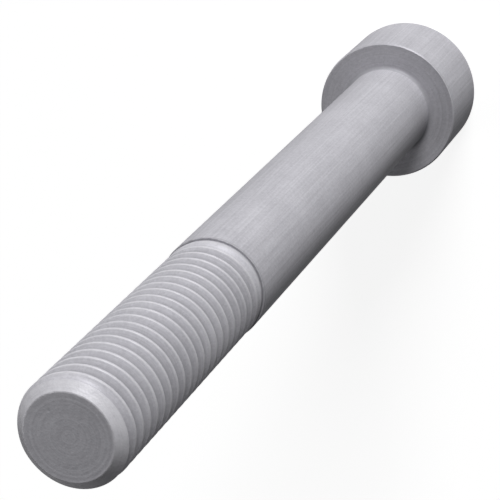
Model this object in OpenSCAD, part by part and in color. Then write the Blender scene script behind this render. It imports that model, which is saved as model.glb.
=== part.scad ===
// Hexagon socket head cap screw, M10 x 90, stood on its head.
// One steel piece: a cold-forged head with a forged socket, a plain shank and a rolled thread.
// The top of the head lies on z = 0 and the point of the screw looks up.
// The turns of the thread are too fine to draw here, so the thread is the cylinder over its crests.

/* [Head] */
// Diameter of the head
head_d = 16; // [13:0.5:24]
// Height of the head, from its top face to the face that bears on the work
head_h = 10; // [8.5:0.5:16]
// Radius that rounds the rim of the head's top face
head_round = 0.3; // [0.1:0.1:1]
// Size of the chamfer round the edge of the bearing face
bearing_chamfer = 0.15; // [0.05:0.05:0.5]
// Radius of the fillet where the shank meets the bearing face
neck_fillet = 0.4; // [0.1:0.1:0.6]

/* [Socket] */
// Size of the hexagon key across its flats
key_size = 8; // [4:0.5:9]
// Room between the key and the socket, across the flats
key_room = 0.08; // [0.02:0.02:0.2]
// Depth at which the corners of the socket end
socket_depth = 5; // [3:0.5:6]
// Angle of the cone at the bottom of the socket, from wall to wall
nose_angle = 120; // [100:5:150]
// Width of the bevel round the mouth of the socket, outside its corners
mouth_margin = 0.2; // [0.05:0.05:0.6]
// Angle of the bevel at the mouth, from wall to wall
mouth_angle = 120; // [90:5:140]

/* [Shank and thread] */
// Diameter of the plain shank, which is the nominal size of the screw
shank_d = 10; // [7:0.5:12]
// Length of the screw, from the bearing face to the tip
screw_len = 90; // [50:5:160]
// Length of the thread, from its shoulder to the tip
thread_len = 32; // [15:1:45]
// Depth of the square shoulder that ends the plain shank
shoulder_depth = 0.2; // [0.12:0.02:0.6]
// Length over which the thread's crests rise from the shoulder's foot to their full height
run_out = 0.6; // [0.5:0.1:2]
// Depth from the plain shank's surface down to the full crests
crest_drop = 0.11; // [0.04:0.01:0.2]
// Size of the 45 degree chamfer at the tip
tip_chamfer = 1; // [0.4:0.1:1.5]

/* [Hidden] */
$fn = 96;

// The cutting tools stand out of the face by this much
overshoot = 1;

head_r = head_d / 2;
shank_r = shank_d / 2;
foot_r = shank_r - shoulder_depth;
crest_r = shank_r - crest_drop;
tip_r = crest_r - tip_chamfer;

// Heights above the top face of the head
tip_z = head_h + screw_len;
shoulder_z = tip_z - thread_len;

// Half the distance across the socket's corners
corner_r = (key_size + key_room) / sqrt(3);
mouth_r = corner_r + mouth_margin;

// Depth of a cone whose base has radius r and whose walls stand at the given full angle
function cone_depth(r, angle) = r / tan(angle / 2);

// Half of the screw's outline, from the axis outwards, with straight edges only
module plain_outline() {
    polygon([
        [0, 0],
        [head_r, 0],
        [head_r, head_h - bearing_chamfer],
        [head_r - bearing_chamfer, head_h],
        [shank_r, head_h],
        [shank_r, shoulder_z],
        [foot_r, shoulder_z],
        [crest_r, shoulder_z + run_out],
        [crest_r, tip_z - tip_chamfer],
        [tip_r, tip_z],
        [0, tip_z]
    ]);
}

// What rounding takes off the rim of the top face
module rim_waste() {
    difference() {
        translate([head_r - head_round, -overshoot])
            square([head_round + overshoot, head_round + overshoot]);
        translate([head_r - head_round, head_round])
            circle(r = head_round);
    }
}

// The web of metal that fills the corner under the head
module neck_web() {
    difference() {
        translate([shank_r - neck_fillet, head_h - neck_fillet])
            square(2 * neck_fillet);
        translate([shank_r + neck_fillet, head_h + neck_fillet])
            circle(r = neck_fillet);
    }
}

// The turned body: outline, rounded rim and neck fillet, swept round the axis
module blank() {
    rotate_extrude()
        difference() {
            union() {
                plain_outline();
                neck_web();
            }
            rim_waste();
        }
}

// The hexagon punch with its conical nose, which leaves the socket
module punch() {
    nose_h = cone_depth(corner_r, nose_angle);
    reach = socket_depth + overshoot;
    base_r = corner_r + reach * tan(nose_angle / 2);
    intersection() {
        translate([0, 0, -overshoot])
            cylinder(r = corner_r, h = reach + nose_h, $fn = 6);
        translate([0, 0, -overshoot])
            cylinder(r1 = base_r, r2 = 0, h = reach + nose_h);
    }
}

// The countersink that bevels the mouth of the socket
module countersink() {
    base_r = mouth_r + overshoot * tan(mouth_angle / 2);
    translate([0, 0, -overshoot])
        cylinder(r1 = base_r, r2 = 0, h = cone_depth(base_r, mouth_angle));
}

module cap_screw() {
    color([0.66, 0.66, 0.69])
        difference() {
            blank();
            punch();
            countersink();
        }
}

cap_screw();
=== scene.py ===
import math
import bmesh
import bpy
from mathutils import Matrix, Vector


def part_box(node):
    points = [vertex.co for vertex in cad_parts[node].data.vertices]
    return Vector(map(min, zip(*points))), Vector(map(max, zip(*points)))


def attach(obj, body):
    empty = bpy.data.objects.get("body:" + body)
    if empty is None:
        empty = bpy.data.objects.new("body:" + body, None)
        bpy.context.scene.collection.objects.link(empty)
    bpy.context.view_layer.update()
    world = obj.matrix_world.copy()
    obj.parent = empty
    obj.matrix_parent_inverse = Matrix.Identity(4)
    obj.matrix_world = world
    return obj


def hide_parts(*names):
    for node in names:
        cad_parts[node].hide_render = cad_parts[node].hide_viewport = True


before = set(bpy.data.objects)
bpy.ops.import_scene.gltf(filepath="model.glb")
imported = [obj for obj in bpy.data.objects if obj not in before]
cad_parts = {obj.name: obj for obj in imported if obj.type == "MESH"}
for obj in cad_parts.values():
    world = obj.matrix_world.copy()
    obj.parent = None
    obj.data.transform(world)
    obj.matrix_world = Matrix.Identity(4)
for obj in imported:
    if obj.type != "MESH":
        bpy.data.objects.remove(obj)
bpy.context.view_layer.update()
print("frame loaded")

mm = 0.001
lowCorner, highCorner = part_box("cap_screw")

# The screw: sizes in mm, as the standard gives them for M10 x 90
screw = {
    "headHeight": 10.0,
    "rimRound": 0.3,
    "bearingChamfer": 0.15,
    "neckFillet": 0.4,
    "keyAcrossFlats": 8.08,    # an 8 mm key with a little room
    "socketDepth": 5.0,        # down to where the corners end
    "noseAngle": 120.0,        # degrees, the cone that the punch's nose leaves
    "mouthMargin": 0.2,        # the mouth's bevel reaches this far past the corners
    "mouthAngle": 120.0,       # degrees, the whole angle of that bevel
    "shankDiameter": 10.0,
    "threadLength": 32.0,
    "shoulderDepth": 0.2,      # the square end of the shank, where the thread starts
    "runOut": 0.6,             # the cone from the shoulder's foot up to the crests
    "crestDrop": 0.11,         # how far the crests lie under the shank
    "tipChamfer": 1.0,
    "tipEdge": 0.05,           # softening of the tip face's edge
    "sharpAngle": 19.0,        # degrees, edges steeper than this stay crisp
    "columns": 120,            # points round the axis, a multiple of 6 so that the socket's corners are met
    "roundSteps": 6,           # faces across the rim's round and the neck's fillet
    "shankSteps": 24,          # rings of faces along the shank
    "sideSteps": 4,            # and on the head's side
    "wallSteps": 4,            # and on the socket's walls
}

# The thread: M10 x 1.5, right hand, medium fit. Sizes in mm
thread = {
    "pitch": 1.5,
    "pitchDiameter": 8.93,
    "flankAngle": 30.0,        # degrees, how far each flank leans
    "rootRound": 0.2165,       # 0.1443 pitches, the standard's root radius
    "crestSoft": 0.035,        # rolled crests have soft edges
    "fadeStart": 0.25,         # the groove starts this far from the shoulder
    "fadeLength": 2.2,         # and is at full depth this much further on
    "tipFade": 2.0,            # from this far under the tip it gets shallow again
    "start": 0.4,              # turns, which sets where the last crest runs out on the tip's chamfer
    "rootSteps": 4,            # faces from the root's middle to the flank
    "flankSteps": 5,           # and up the flank
}

# Radii and heights in mm: the head's radius and the tip's height are those of the CAD box
headRadius = min(-lowCorner.x, highCorner.x, -lowCorner.y, highCorner.y) / mm
shankRadius = screw["shankDiameter"] / 2
footRadius = shankRadius - screw["shoulderDepth"]
crestRadius = shankRadius - screw["crestDrop"]
tipRadius = crestRadius - screw["tipChamfer"]
tipZ = highCorner.z / mm
chamferZ = tipZ - screw["tipChamfer"]
shoulderZ = tipZ - screw["threadLength"]
cornerRadius = screw["keyAcrossFlats"] / math.sqrt(3)
mouthRadius = cornerRadius + screw["mouthMargin"]
noseSlope = math.tan(math.radians(screw["noseAngle"] / 2))
noseZ = screw["socketDepth"] + cornerRadius / noseSlope

# The root's round touches both flanks
flank = math.radians(thread["flankAngle"])
flankSlope = math.tan(flank)
pitchRadius = thread["pitchDiameter"] / 2
touchOffset = thread["pitch"] / 2 - thread["rootRound"] * math.cos(flank)
touchRadius = pitchRadius - (touchOffset - thread["pitch"] / 4) / flankSlope
rootCentre = touchRadius + thread["rootRound"] * math.sin(flank)
rootRadius = rootCentre - thread["rootRound"]


def smoothStep(x):
    # eases from 0 up to 1
    x = min(max(x, 0.0), 1.0)
    return x * x * (3 - 2 * x)


def arcPoints(centreR, centreZ, radius, startDegrees, endDegrees):
    # (r, z) points along an arc, ends included
    steps = screw["roundSteps"]
    points = []
    for i in range(steps + 1):
        angle = math.radians(startDegrees + (endDegrees - startDegrees) * i / steps)
        points.append((centreR + radius * math.cos(angle), centreZ + radius * math.sin(angle)))
    return points


def crestOutline(z):
    # radius over the crests: it rises from the shoulder's foot, runs straight, and ends in the chamfer
    if z < shoulderZ + screw["runOut"]:
        return footRadius + (crestRadius - footRadius) * max(z - shoulderZ, 0) / screw["runOut"]
    return min(crestRadius, crestRadius - (z - chamferZ))


def turnProfile():
    # one turn as (offset along the axis, depth under the crest), from one root's middle towards the next
    pitch = thread["pitch"]
    rootSteps = thread["rootSteps"]
    flankSteps = thread["flankSteps"]
    rising = []
    for i in range(rootSteps + 1):
        turn = math.radians((90 - thread["flankAngle"]) * i / rootSteps)
        radius = rootCentre - thread["rootRound"] * math.cos(turn)
        rising.append((thread["rootRound"] * math.sin(turn) - pitch / 2, crestRadius - radius))
    crestHalf = pitch / 4 - (crestRadius - pitchRadius) * flankSlope
    soft = thread["crestSoft"]
    low, high = rising[-1], (-crestHalf - soft * flankSlope, soft)
    rising += [[a + (b - a) * i / flankSteps for a, b in zip(low, high)] for i in range(1, flankSteps + 1)]
    rising.append((-crestHalf + soft, 0.0))
    falling = [(-offset, depth) for offset, depth in reversed(rising[1:])]
    return rising + [(0.0, 0.0)] + falling


def outsideOutline(point, endZ):
    # whether a point of the thread lies beyond the crests' outline or the end
    z, depth = point
    hair = 1e-9   # leaves room for rounding
    return z > endZ or crestRadius - depth > crestOutline(z) + hair


def meetOutline(inner, outer, endZ):
    # where the line from a point inside to one outside crosses the chamfer or the end, found by halving
    low, high = 0.0, 1.0
    halvings = 30
    for _ in range(halvings):
        middle = (low + high) / 2
        point = [a + (b - a) * middle for a, b in zip(inner, outer)]
        if outsideOutline(point, endZ):
            high = middle
        else:
            low = middle
    return [a + (b - a) * low for a, b in zip(inner, outer)]


def threadedColumn(share, topZ):
    # the threaded end's outline at a share of a turn, from the shoulder up, always with as many points
    pitch = thread["pitch"]
    turns = math.ceil((topZ - shoulderZ) / pitch)
    spare = 2     # turns past either end, so that no share of a turn runs short
    snap = 0.02   # mm, points nearer than this to an end go onto it
    endZ = topZ - snap
    raw = []
    for turn in range(-spare, turns + spare):
        for offset, depth in turnProfile():
            z = shoulderZ + pitch * (turn + thread["start"] + share) + offset
            fade = smoothStep((z - shoulderZ - thread["fadeStart"]) / thread["fadeLength"])
            fade *= smoothStep((tipZ - z) / thread["tipFade"])
            raw.append((z, depth * fade))

    column = []
    for i, point in enumerate(raw):
        z, depth = point
        if z < shoulderZ + snap:
            column.append((footRadius, shoulderZ))
        elif z < shoulderZ + screw["runOut"]:
            column.append((crestOutline(z) - depth, z))
        elif not outsideOutline(point, endZ):
            column.append((crestRadius - depth, z))
        elif raw[i - 1][0] > shoulderZ and not outsideOutline(raw[i - 1], endZ):
            # the first point outside is drawn back to where the line leaves the outline
            z, depth = meetOutline(raw[i - 1], point, endZ)
            column.append((crestRadius - depth, z))
        elif i + 1 < len(raw) and not outsideOutline(raw[i + 1], endZ):
            # and the last one outside goes on to where the line comes in again
            z, depth = meetOutline(raw[i + 1], point, endZ)
            column.append((crestRadius - depth, z))
        else:
            z = z if z < endZ else topZ
            column.append((crestOutline(z), z))
    return column


def shankOutline():
    # from the shoulder down the shank and round the neck
    steps = screw["shankSteps"]
    fillet = screw["neckFillet"]
    neckZ = screw["headHeight"] + fillet
    column = [(shankRadius, shoulderZ + (neckZ - shoulderZ) * i / steps) for i in range(steps)]
    return column + arcPoints(shankRadius + fillet, neckZ, fillet, 180, 270)


def headOutline():
    # across the bearing face, down the side, round the rim and in to the socket's mouth
    headHeight = screw["headHeight"]
    chamfer = screw["bearingChamfer"]
    rimRound = screw["rimRound"]
    innerEdge = shankRadius + screw["neckFillet"]
    outerEdge = headRadius - chamfer
    ringParts = (0.1, 0.5, 1.0)   # of the way across, the first close by the fillet for even shading
    column = [(innerEdge + (outerEdge - innerEdge) * part, headHeight) for part in ringParts]
    sideTop = headHeight - chamfer
    steps = screw["sideSteps"]
    column += [(headRadius, sideTop + (rimRound - sideTop) * i / steps) for i in range(steps)]
    rimCentre = headRadius - rimRound
    column += arcPoints(rimCentre, rimRound, rimRound, 0, -90)
    return column + [((rimCentre + mouthRadius) / 2, 0.0), (mouthRadius, 0.0)]


def socketOutline(share):
    # up the socket's wall and along the cone towards its point, at a share of a turn
    fromFlat = math.radians((share * 360) % 60 - 30)
    wallRadius = screw["keyAcrossFlats"] / 2 / math.cos(fromFlat)
    wallStart = (mouthRadius - wallRadius) / math.tan(math.radians(screw["mouthAngle"] / 2))
    wallEnd = screw["socketDepth"] + (cornerRadius - wallRadius) / noseSlope
    steps = screw["wallSteps"]
    column = [(wallRadius, wallStart + (wallEnd - wallStart) * i / steps) for i in range(steps + 1)]
    ringParts = (0.66, 0.33)   # of the wall's radius, on the cone
    return column + [(wallRadius * part, noseZ - wallRadius * part / noseSlope) for part in ringParts]


def outlineColumn(share):
    # the whole outline at a share of a turn, from the tip down the outside and up into the socket
    edge = screw["tipEdge"]
    edgeDrop = 0.7 * edge   # the softening reaches as far along the 45 degree chamfer as in on the face
    halfway = tipRadius * 0.5
    tipPoints = [(halfway, tipZ), (tipRadius - edge, tipZ)]
    threadPoints = threadedColumn(share, tipZ - edgeDrop)
    return tipPoints + threadPoints[::-1] + shankOutline() + headOutline() + socketOutline(share)


def buildScrew():
    # the columns joined round the axis into one closed skin
    count = screw["columns"]
    vertices = [(0, 0, tipZ * mm)]
    faces = []
    # the last column lies on the first, one turn further along the thread, and finishMesh joins them
    for j in range(count + 1):
        angle = 2 * math.pi * j / count
        column = outlineColumn(j / count)
        vertices += [(r * math.cos(angle) * mm, r * math.sin(angle) * mm, z * mm) for r, z in column]
    rows = len(column)
    apex = len(vertices)
    vertices.append((0, 0, noseZ * mm))
    for j in range(count):
        here = 1 + j * rows
        after = here + rows
        faces.append((0, here, after))
        for i in range(rows - 1):
            faces.append((here + i, here + i + 1, after + i + 1, after + i))
        faces.append((here + rows - 1, apex, after + rows - 1))
    mesh = bpy.data.meshes.new("capScrew")
    mesh.from_pydata(vertices, [], faces)
    return mesh


# the finishes, in the order of the mesh's materials
drawn, rolled, turned, punched = range(4)


def finishOf(face):
    # which tool gave a face its finish
    centre = face.calc_center_median() / mm
    radius = math.hypot(centre.x, centre.y)
    flat = abs(face.normal.z) > 0.9   # level to about 25 degrees
    edge = screw["bearingChamfer"]
    bearingEdgeShaded = radius > headRadius - edge and centre.z > screw["headHeight"] - edge
    aboveShoulder = centre.z > shoulderZ + 0.001   # by more than rounding
    if radius < mouthRadius and centre.z < screw["headHeight"]:
        return punched
    if aboveShoulder and not flat:
        return rolled
    # flat faces and the bearing face's edge take the darker turned colours: painted shade, which on the edge
    # also dims its glint
    return turned if flat or bearingEdgeShaded else drawn


def finishMesh(mesh):
    # joins the seam and the points that fell together, keeps hard edges crisp and sorts the faces by finish
    joinDistance = 0.0002 * mm
    leastEdge = 0.0001 * mm
    body = bmesh.new()
    body.from_mesh(mesh)
    bmesh.ops.remove_doubles(body, verts=body.verts, dist=joinDistance)
    bmesh.ops.dissolve_degenerate(body, edges=body.edges, dist=leastEdge)
    bmesh.ops.recalc_face_normals(body, faces=body.faces)
    for face in body.faces:
        face.smooth = True
        face.material_index = finishOf(face)
    for edge in body.edges:
        edge.smooth = edge.calc_face_angle() < math.radians(screw["sharpAngle"])
    body.to_mesh(mesh)
    body.free()


mesh = buildScrew()
finishMesh(mesh)
screwPiece = bpy.data.objects.new("cap_screw_steel", mesh)
bpy.context.scene.collection.objects.link(screwPiece)
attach(screwPiece, "root")
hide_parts("cap_screw")
print("screw built:", len(mesh.vertices), "vertices,", len(mesh.polygons), "faces")


def hexToLinear(code):
    # sRGB hex to the linear values that shaders take
    channels = [int(code[i:i + 2], 16) / 255 for i in (1, 3, 5)]
    return [c / 12.92 if c <= 0.04045 else ((c + 0.055) / 1.055) ** 2.4 for c in channels] + [1.0]


def addNode(tree, kind, settings=None, links=None):
    # one node, with its properties or input values, and the sockets that feed it
    node = tree.nodes.new(kind)
    for key, value in (settings or {}).items():
        if isinstance(key, int) or key in node.inputs:
            node.inputs[key].default_value = value
        else:
            setattr(node, key, value)
    for key, source in (links or {}).items():
        tree.links.new(source, node.inputs[key])
    return node


# The coat: zinc flakes in a baked binder, spun on in a barrel. Sizes, depths and reaches in mm.
# A pattern's Tone is how far it moves the colour between shade and light, its Roughness how far the roughness
zincFlake = {
    "thinCoatAndHighlightColour": "#D9D8DD",   # rubbed bright on edges and crests, and a painted highlight there as well
    "poolAndShadeColour": "#9A999F",  # pooled in roots and corners, and painted shade there as well
    "metallic": 0.08,          # the binder dulls the flakes
    "specular": 0.0,           # it is baked matt, and all its gloss is that of the flakes
    "roughness": 0.42,
    "flakeSize": 0.18,         # real flakes are 0.02 mm, drawn coarser so that they show
    "flakeTone": 0.6,
    "flakeHeight": 0.007,
    "flakeRoughness": 0.12,
    "cloudSize": 5.0,          # the coat is a little thicker here and there
    "cloudTone": 0.9,
    "cloudRoughness": 0.1,
    "dentSpacing": 1.8,        # screws knock together in the barrel
    "dentSize": 0.25,
    "dentDepth": 0.02,
    "dentShare": 0.45,         # of the places for a dent that have one
    "rubSize": 0.7,            # edges and crests are rubbed in patches of this size, and their painted highlight with them
    "rubNoise": (0.3, 0.62),   # the noise's usual range, from the least rubbed to the most
    "rubLeast": 0.25,
    "rubMost": 0.7,
    "crestWearAndHighlightReach": 0.12,        # how deep under the crests the rubbing and its painted highlight go
    "rootPoolAndShadeStart": 0.2,          # and from where the coat gets thicker and painted shade darkens the roots
}

# How the steel under the coat was worked, and the matt silver grey that the coat has on it, lighter on the
# rolled steel as painted highlight and darker on the turned steel as painted shade. Sizes in mm.
# Real marks are a few hundredths wide, drawn coarser so that they show
drawnSteel = {
    "shadeColour": "#B3B2B8",
    "lightColour": "#CBCAD0",
    "lengthwise": True,        # the wire's die leaves lines along the shank and the head's side
    "markWidth": 0.16,
    "markLength": 14.0,
    "markDepth": 0.01,
    "markTone": 1.3,
}
# Painted highlight: these colours are lighter than the drawn ones, which lightens the tip's chamfer and the
# thread's flanks
rolledSteelLightenedForHighlight = {
    "shadeColour": "#B9B8BE",
    "lightColour": "#D1D0D6",
    "lengthwise": False,       # the thread's dies smear the steel round the flanks
    "markWidth": 0.12,
    "markLength": 6.0,
    "markDepth": 0.0075,
    "markTone": 1.3,
}
# Painted shade: these colours are darker than those of the other steels, which darkens the flat end faces and
# the bearing face's edge
turnedSteelDarkenedForShade = {
    "shadeColour": "#AEADB3",
    "lightColour": "#C7C6CC",
    "lengthwise": False,       # the tool leaves rings on the flat faces and the bearing face's edge
    "markWidth": 0.2,
    "markLength": 9.0,
    "markDepth": 0.0125,
    "markTone": 1.3,
}
punchedSteel = {
    "shadeColour": "#B3B2B8",
    "lightColour": "#CBCAD0",
    "lengthwise": True,        # the punch drags lines down the socket's walls
    "markWidth": 0.14,
    "markLength": 3.0,
    "markDepth": 0.015,
    "markTone": 1.3,
}

# Circles round the axis as (radius, height, reach): edges where the coat is thin and a painted highlight
# lightens them, corners where it pools and painted shade darkens them
rimInset = screw["rimRound"] / 3   # the middle of the rim's round lies about this far in from both faces
# Painted highlight as well as wear: the tip's edge, the shoulder, the head's edges and the socket's mouth are
# lightened
edgeCirclesRubbedAndHighlit = [
    (tipRadius, tipZ, 0.2),
    (shankRadius, shoulderZ, 0.2),
    (headRadius, screw["headHeight"], 0.15),
    (headRadius - rimInset, rimInset, 0.4),
    (mouthRadius, 0.0, 0.3),
]
# Painted shade as well as pooled coat: the neck, the shoulder's foot and the socket's corners are darkened
cornerCirclesPooledAndShaded = [
    (shankRadius, screw["headHeight"], 0.6),
    (footRadius, shoulderZ, 0.5),
    (cornerRadius, screw["socketDepth"], 1.5),
]


def nearCircles(tree, outline, circles):
    # 1 on any of the circles, falling to 0 at its reach
    total = None
    for radius, height, reach in circles:
        circle = {"operation": "DISTANCE", 1: (radius, height, 0)}
        gap = addNode(tree, "ShaderNodeVectorMath", circle, {0: outline}).outputs["Value"]
        fall = {"interpolation_type": "SMOOTHSTEP", "From Min": reach, "From Max": 0.0}
        near = addNode(tree, "ShaderNodeMapRange", fall, {"Value": gap}).outputs["Result"]
        if total:
            near = addNode(tree, "ShaderNodeMath", {"operation": "MAXIMUM"}, {0: total, 1: near}).outputs[0]
        total = near
    return total


def sumOf(tree, middle, parts):
    # the middle value, moved up and down by each pattern times its share
    total = None
    rest = middle - sum(share for pattern, share in parts) / 2
    for pattern, share in parts:
        node = addNode(tree, "ShaderNodeMath", {"operation": "MULTIPLY_ADD", 1: share, 2: rest}, {0: pattern})
        if total:
            tree.links.new(total, node.inputs[2])
        total = node.outputs[0]
    return total


def toolMarks(tree, steel, place, radius, axes):
    # the fine lines that the tool left, along the screw or round it
    fine = 1 / steel["markWidth"]
    coarse = 1 / steel["markLength"]
    if steel["lengthwise"]:
        along, stretch = place, (fine, fine, coarse)
    else:
        rings = {"X": radius, "Y": axes.outputs["X"], "Z": axes.outputs["Z"]}
        along = addNode(tree, "ShaderNodeCombineXYZ", links=rings).outputs[0]
        stretch = (fine, coarse, coarse)
    stretched = addNode(tree, "ShaderNodeVectorMath", {"operation": "MULTIPLY", 1: stretch}, {0: along})
    lines = {"Scale": 1.0, "Detail": 2.0}
    return addNode(tree, "ShaderNodeTexNoise", lines, {"Vector": stretched.outputs[0]}).outputs["Fac"]


def barrelDents(tree, place):
    # 1 in the middle of each dent, falling to 0 at its edge
    spacing = zincFlake["dentSpacing"]
    knocks = addNode(tree, "ShaderNodeTexVoronoi", {"Scale": 1 / spacing}, {"Vector": place})
    hollow = {"interpolation_type": "SMOOTHSTEP", "From Max": zincFlake["dentSize"] / spacing,
              "To Min": 1.0, "To Max": 0.0}
    inDent = addNode(tree, "ShaderNodeMapRange", hollow, {"Value": knocks.outputs["Distance"]})
    chosen = {"operation": "GREATER_THAN", 1: 1 - zincFlake["dentShare"]}
    knocked = addNode(tree, "ShaderNodeMath", chosen, {0: knocks.outputs["Color"]})
    both = {0: inDent.outputs[0], 1: knocked.outputs[0]}
    return addNode(tree, "ShaderNodeMath", {"operation": "MULTIPLY"}, both).outputs[0]


def threadDepth(tree, radius, height):
    # mm under the line of the crests and the chamfer
    cone = {"operation": "SUBTRACT", 0: crestRadius + chamferZ}
    cone = addNode(tree, "ShaderNodeMath", cone, {1: height}).outputs[0]
    over = addNode(tree, "ShaderNodeMath", {"operation": "MINIMUM", 0: crestRadius}, {1: cone}).outputs[0]
    return addNode(tree, "ShaderNodeMath", {"operation": "SUBTRACT"}, {0: over, 1: radius}).outputs[0]


def wearHighlightPoolAndShade(tree, steel, place, radius, height):
    # where the coat is rubbed thin, with a painted highlight there, and where it has pooled, with painted
    # shade there, each from 0 to 1
    outline = addNode(tree, "ShaderNodeCombineXYZ", links={"X": radius, "Y": height}).outputs[0]
    wearAndHighlight = nearCircles(tree, outline, edgeCirclesRubbedAndHighlit)
    poolAndShade = nearCircles(tree, outline, cornerCirclesPooledAndShaded)
    if steel is rolledSteelLightenedForHighlight:
        depth = threadDepth(tree, radius, height)
        # painted highlight as well as wear: the crests are lightened
        shallow = {"From Min": zincFlake["crestWearAndHighlightReach"], "From Max": 0.0}
        crest = addNode(tree, "ShaderNodeMapRange", shallow, {"Value": depth}).outputs[0]
        # painted shade as well as pooled coat: the roots darken with their depth
        deep = {"From Min": zincFlake["rootPoolAndShadeStart"], "From Max": crestRadius - rootRadius}
        root = addNode(tree, "ShaderNodeMapRange", deep, {"Value": depth}).outputs[0]
        wearAndHighlight = addNode(tree, "ShaderNodeMath", {"operation": "MAXIMUM"}, {0: wearAndHighlight, 1: crest}).outputs[0]
        poolAndShade = addNode(tree, "ShaderNodeMath", {"operation": "MAXIMUM"}, {0: poolAndShade, 1: root}).outputs[0]
    patches = {"Scale": 1 / zincFlake["rubSize"], "Detail": 3.0}
    rubbing = addNode(tree, "ShaderNodeTexNoise", patches, {"Vector": place}).outputs["Fac"]
    leastNoise, mostNoise = zincFlake["rubNoise"]
    share = {"From Min": leastNoise, "From Max": mostNoise,
             "To Min": zincFlake["rubLeast"], "To Max": zincFlake["rubMost"]}
    rubbed = addNode(tree, "ShaderNodeMapRange", share, {"Value": rubbing}).outputs[0]
    wearAndHighlight = addNode(tree, "ShaderNodeMath", {"operation": "MULTIPLY"}, {0: wearAndHighlight, 1: rubbed}).outputs[0]
    return wearAndHighlight, poolAndShade


def zincFlakeSteel(name, steel):
    # matt and even from a step away, with a soft sheen, a fine grain and the marks of the tool under it
    material = bpy.data.materials.new(name)
    material.use_nodes = True
    tree = material.node_tree
    shader = tree.nodes["Principled BSDF"]

    # where a point lies, in mm, and how far it is from the axis
    here = addNode(tree, "ShaderNodeTexCoord")
    inMm = {"operation": "SCALE", "Scale": 1 / mm}
    place = addNode(tree, "ShaderNodeVectorMath", inMm, {0: here.outputs["Object"]}).outputs[0]
    axes = addNode(tree, "ShaderNodeSeparateXYZ", links={0: place})
    across = addNode(tree, "ShaderNodeVectorMath", {"operation": "MULTIPLY", 1: (1, 1, 0)}, {0: place})
    length = addNode(tree, "ShaderNodeVectorMath", {"operation": "LENGTH"}, {0: across.outputs[0]})
    radius = length.outputs["Value"]

    # the patterns
    flakes = addNode(tree, "ShaderNodeTexVoronoi", {"Scale": 1 / zincFlake["flakeSize"]}, {"Vector": place})
    uneven = {"Scale": 1 / zincFlake["cloudSize"], "Detail": 3.0}
    clouds = addNode(tree, "ShaderNodeTexNoise", uneven, {"Vector": place}).outputs["Fac"]
    marks = toolMarks(tree, steel, place, radius, axes)
    dents = barrelDents(tree, place)
    wearAndHighlight, poolAndShade = wearHighlightPoolAndShade(tree, steel, place, radius, axes.outputs["Z"])

    # the colour, first as the coat is on this steel, then where it is thick or thin, which also paints shade
    # into corners and roots and a highlight onto edges and crests
    tone = sumOf(tree, 0.5, [(flakes.outputs["Color"], zincFlake["flakeTone"]),
                             (clouds, zincFlake["cloudTone"]),
                             (marks, steel["markTone"])])
    shades = {"data_type": "RGBA", 6: hexToLinear(steel["shadeColour"]), 7: hexToLinear(steel["lightColour"])}
    colour = addNode(tree, "ShaderNodeMix", shades, {0: tone}).outputs[2]
    pooledAndShaded = {"data_type": "RGBA", 7: hexToLinear(zincFlake["poolAndShadeColour"])}
    colour = addNode(tree, "ShaderNodeMix", pooledAndShaded, {0: poolAndShade, 6: colour}).outputs[2]
    thinAndHighlit = {"data_type": "RGBA", 7: hexToLinear(zincFlake["thinCoatAndHighlightColour"])}
    colour = addNode(tree, "ShaderNodeMix", thinAndHighlit, {0: wearAndHighlight, 6: colour}).outputs[2]
    tree.links.new(colour, shader.inputs["Base Color"])

    roughParts = [(flakes.outputs["Color"], zincFlake["flakeRoughness"]),
                  (clouds, zincFlake["cloudRoughness"])]
    tree.links.new(sumOf(tree, zincFlake["roughness"], roughParts), shader.inputs["Roughness"])

    height = sumOf(tree, 0.0, [(flakes.outputs["Distance"], zincFlake["flakeHeight"]),
                               (marks, steel["markDepth"]),
                               (dents, -zincFlake["dentDepth"])])
    bump = addNode(tree, "ShaderNodeBump", {"Distance": mm}, {"Height": height})
    tree.links.new(bump.outputs[0], shader.inputs["Normal"])

    shader.inputs["Metallic"].default_value = zincFlake["metallic"]
    shader.inputs["Specular IOR Level"].default_value = zincFlake["specular"]
    return material


mesh.materials.append(zincFlakeSteel("zincFlakeOnDrawnSteel", drawnSteel))
mesh.materials.append(zincFlakeSteel("zincFlakeOnRolledSteelHighlit", rolledSteelLightenedForHighlight))
mesh.materials.append(zincFlakeSteel("zincFlakeOnTurnedSteelShaded", turnedSteelDarkenedForShade))
mesh.materials.append(zincFlakeSteel("zincFlakeOnPunchedSteel", punchedSteel))
print("materials made")


# The studio: a white paper floor, a dim sky, and two soft lamps far away. Angles in degrees
studio = {
    "floorSize": 6.0,          # metres
    "floorGap": 0.02,          # mm under the head's face, so that the two don't lie in one plane
    "paperColour": "#A0A0A0",  # the matt share that takes the shadow, the rest is glow up to white
    "skyLight": 0.035,         # what the sky gives as light, though it is seen as white
}
mainLamp = {
    "azimuth": 300.0,          # from +X, as seen from above
    "height": 16.0,            # above the floor
    "width": 28.0,             # as seen from the screw, for soft shadows
    "strength": 3.2,           # with the sky and the floor, a colour comes out about as it is written
}
backLamp = {
    "azimuth": 66.0,
    "height": 12.0,
    "width": 24.0,
    "strength": 0.55,          # keeps the far side from going black
}


def seenRays(tree):
    # 1 for what the camera, a reflection or glass sees, 0 for the light that falls on the object
    path = addNode(tree, "ShaderNodeLightPath")
    direct = addNode(tree, "ShaderNodeMath", {"operation": "MAXIMUM"},
                     {0: path.outputs["Is Camera Ray"], 1: path.outputs["Is Glossy Ray"]})
    seen = addNode(tree, "ShaderNodeMath", {"operation": "MAXIMUM"},
                   {0: direct.outputs[0], 1: path.outputs["Is Transmission Ray"]})
    return seen.outputs[0]


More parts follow.
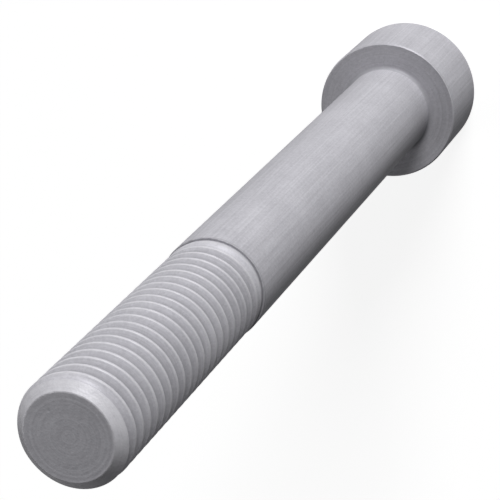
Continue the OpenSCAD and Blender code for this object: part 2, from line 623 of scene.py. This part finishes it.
def paperFloor():
    # matt paper: white where it is seen, a little less in the shadow
    material = bpy.data.materials.new("whitePaper")
    material.use_nodes = True
    tree = material.node_tree
    tree.nodes.clear()
    paper = hexToLinear(studio["paperColour"])
    fallen = studio["skyLight"]   # the light on the open floor, where 1 would make white paper white
    for lamp in (mainLamp, backLamp):
        fallen += lamp["strength"] / math.pi * math.sin(math.radians(lamp["height"]))
    matt = addNode(tree, "ShaderNodeBsdfDiffuse", {"Color": paper})
    missing = {"operation": "MULTIPLY", 1: 1 - paper[0] * fallen}   # what the lit paper lacks to white
    share = addNode(tree, "ShaderNodeMath", missing, {0: seenRays(tree)})
    glow = addNode(tree, "ShaderNodeEmission", links={"Strength": share.outputs[0]})
    total = addNode(tree, "ShaderNodeAddShader", links={0: matt.outputs[0], 1: glow.outputs[0]})
    addNode(tree, "ShaderNodeOutputMaterial", links={"Surface": total.outputs[0]})
    return material


def addLamp(name, lamp):
    # a far lamp, turned so that its light comes from the given azimuth and height
    lampData = bpy.data.lights.new(name, "SUN")
    lampData.energy = lamp["strength"]
    lampData.angle = math.radians(lamp["width"])
    lampObject = bpy.data.objects.new(name, lampData)
    azimuth = math.radians(lamp["azimuth"])
    height = math.radians(lamp["height"])
    level = math.cos(height)
    towards = Vector((level * math.cos(azimuth), level * math.sin(azimuth), math.sin(height)))
    lampObject.rotation_euler = towards.to_track_quat("Z", "Y").to_euler()
    bpy.context.scene.collection.objects.link(lampObject)


def buildStudio():
    scene = bpy.context.scene
    half = studio["floorSize"] / 2
    floorMesh = bpy.data.meshes.new("floor")
    corners = [(-half, -half, 0), (half, -half, 0), (half, half, 0), (-half, half, 0)]
    floorMesh.from_pydata(corners, [], [(0, 1, 2, 3)])
    floorMesh.materials.append(paperFloor())
    floor = bpy.data.objects.new("floor", floorMesh)
    floor.location.z = -studio["floorGap"] * mm
    scene.collection.objects.link(floor)

    world = bpy.data.worlds.new("studioSky")
    scene.world = world
    world.use_nodes = True
    tree = world.node_tree
    tree.nodes.clear()
    strength = addNode(tree, "ShaderNodeMapRange", {"To Min": studio["skyLight"]}, {"Value": seenRays(tree)})
    white = {"Color": (1, 1, 1, 1)}
    sky = addNode(tree, "ShaderNodeBackground", white, {"Strength": strength.outputs["Result"]})
    addNode(tree, "ShaderNodeOutputWorld", links={"Surface": sky.outputs[0]})

    addLamp("mainLamp", mainLamp)
    addLamp("backLamp", backLamp)


# The camera: where the picture was seen from, found from the edges of the screw in it
view = {
    "imagePixels": 500,
    "focalPixels": 2056.9,
    "elevation": 61.62,        # degrees down to the floor
    "roll": -135.72,           # degrees, which puts the tip at the lower left
    "tipAside": -14.03,        # mm from the middle of the view to the tip's middle
    "tipBelow": 14.51,
    "tipAway": 158.9,          # mm from the camera to the tip, along the view
}


def buildCamera():
    scene = bpy.context.scene
    data = bpy.data.cameras.new("camera")
    data.sensor_width = 36   # mm
    data.lens = view["focalPixels"] * data.sensor_width / view["imagePixels"]
    data.clip_start = 0.01   # metres
    data.clip_end = 10
    elevation = math.radians(view["elevation"])
    roll = math.radians(view["roll"])
    forward = Vector((0, math.cos(elevation), -math.sin(elevation)))
    levelRight = Vector((1, 0, 0))
    levelUp = levelRight.cross(forward)
    right = levelRight * math.cos(roll) + levelUp * math.sin(roll)
    up = levelUp * math.cos(roll) - levelRight * math.sin(roll)
    tip = Vector((0, 0, tipZ))
    place = (tip - right * view["tipAside"] + up * view["tipBelow"] - forward * view["tipAway"]) * mm
    camera = bpy.data.objects.new("camera", data)
    axes = Matrix((right, up, -forward)).transposed()
    camera.matrix_world = Matrix.Translation(place) @ axes.to_4x4()
    scene.collection.objects.link(camera)
    scene.camera = camera
    scene.view_settings.view_transform = "Standard"


buildStudio()
buildCamera()
print("studio and camera ready")
